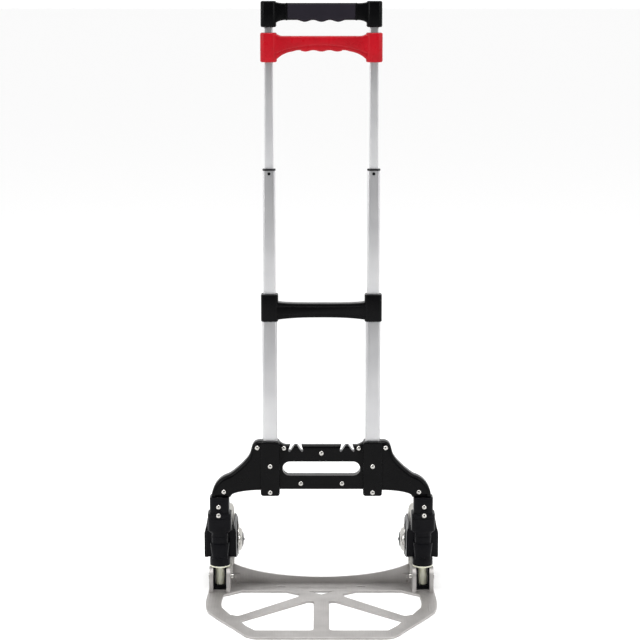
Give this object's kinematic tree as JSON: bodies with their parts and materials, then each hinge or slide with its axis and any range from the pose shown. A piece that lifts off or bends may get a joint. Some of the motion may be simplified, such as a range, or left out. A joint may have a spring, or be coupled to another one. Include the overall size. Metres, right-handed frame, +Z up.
{
  "type": "folding hand truck",
  "caption": "Folding hand truck with a telescoping handle, squeeze release bar, riveted frame, fold-up toe plate and wheels that swing in as the plate folds.",
  "frame": {"origin": "on the floor, under the middle of the whole box at rest", "axes": "+X to the right seen from the front, +Y to the rear, +Z up; the toe plate points to -Y"},
  "size_m": [0.397, 0.4174, 0.991],
  "materials": {
    "black_plastic": "moulded black nylon, semi-gloss",
    "grip_rubber": "soft moulded grip",
    "red_plastic": "moulded red plastic, glossy",
    "tube_aluminium": "anodised, satin",
    "plate_aluminium": "extruded, fine lengthwise grain",
    "steel": "bright nickel plate",
    "nylon": "natural nylon",
    "tyre_grey": "solid grey tyre"
  },
  "bodies": {
    "frame": {"lower_tube_left": "tube_aluminium", "lower_tube_right": "tube_aluminium", "lower_tube_bushes": "black_plastic", "cross_bar": "black_plastic", "cross_bar_screws": "steel", "frame_front_shell": "black_plastic", "frame_rear_shell": "black_plastic", "frame_rivets": "steel", "leg_sleeve_left": "black_plastic", "leg_sleeve_right": "black_plastic", "leg_rivets": "steel", "leg_spindle_left": "steel", "leg_spindle_right": "steel", "yoke_left": "black_plastic", "yoke_right": "black_plastic", "spindle_nuts": "steel", "hinge_pins": "steel"},
    "middle_stage": {"middle_tube_left": "tube_aluminium", "middle_tube_right": "tube_aluminium", "middle_tube_bushes": "black_plastic", "middle_tube_glides": "black_plastic", "middle_lock_clips": "steel"},
    "upper_stage": {"handle_body": "black_plastic", "grip_insert": "grip_rubber", "handle_screws": "steel", "upper_tube_left": "tube_aluminium", "upper_tube_right": "tube_aluminium", "upper_tube_glides": "black_plastic", "upper_lock_clips": "steel", "release_springs": "steel"},
    "release": {"release_bar": "red_plastic", "release_pins": "steel", "release_rods": "steel"},
    "toe": {"toe_plate": "plate_aluminium", "hinge_bracket_left": "plate_aluminium", "hinge_bracket_right": "plate_aluminium", "bracket_rivets": "steel", "follower_pegs": "steel"},
    "fork_left": {"wheel_fork_left": "black_plastic", "swivel_bush_left": "nylon", "cam_barrel_left": "nylon", "axle_left": "steel", "axle_nut_left": "steel", "hub_cap_left": "steel", "cap_centre_left": "black_plastic"},
    "wheel_left": {"tyre_left": "tyre_grey", "hub_left": "black_plastic", "wheel_bush_left": "nylon"},
    "fork_right": {"wheel_fork_right": "black_plastic", "swivel_bush_right": "nylon", "cam_barrel_right": "nylon", "axle_right": "steel", "axle_nut_right": "steel", "hub_cap_right": "steel", "cap_centre_right": "black_plastic"},
    "wheel_right": {"tyre_right": "tyre_grey", "hub_right": "black_plastic", "wheel_bush_right": "nylon"}
  },
  "joints": [
    {"name": "middle_slide", "type": "slide", "parent": "frame", "child": "middle_stage", "axis": [0, 0, 1], "range_m": [-0.195, 0], "deforming": ["middle_lock_clips"]},
    {"name": "upper_slide", "type": "slide", "parent": "middle_stage", "child": "upper_stage", "axis": [0, 0, 1], "range_m": [-0.17, 0], "deforming": ["upper_lock_clips"]},
    {"name": "release_squeeze", "type": "slide", "parent": "upper_stage", "child": "release", "axis": [0, 0, 1], "range_m": [0, 0.006], "stiffness_N_per_m": 800, "springref_m": -0.006, "deforming": ["release_springs"]},
    {"name": "toe_fold", "type": "hinge", "parent": "frame", "child": "toe", "pos_m": [0, 0.04125, 0.028], "axis": [-1, 0, 0], "range_deg": [0, 90]},
    {"name": "swivel_left", "type": "hinge", "parent": "frame", "child": "fork_left", "pos_m": [-0.1715, 0.04725, 0.08], "axis": [0, 0, 1], "range_deg": [-90, 0]},
    {"name": "wheel_spin_left", "type": "hinge", "parent": "fork_left", "child": "wheel_left", "pos_m": [-0.1715, 0.14525, 0.0635], "axis": [1, 0, 0], "continuous": true},
    {"name": "swivel_right", "type": "hinge", "parent": "frame", "child": "fork_right", "pos_m": [0.1715, 0.04725, 0.08], "axis": [0, 0, 1], "range_deg": [0, 90]},
    {"name": "wheel_spin_right", "type": "hinge", "parent": "fork_right", "child": "wheel_right", "pos_m": [0.1715, 0.14525, 0.0635], "axis": [1, 0, 0], "continuous": true}
  ],
  "couplings": [
    {"joint": "swivel_right", "follows": "toe_fold", "ratio": 1},
    {"joint": "swivel_left", "follows": "toe_fold", "ratio": -1}
  ]
}
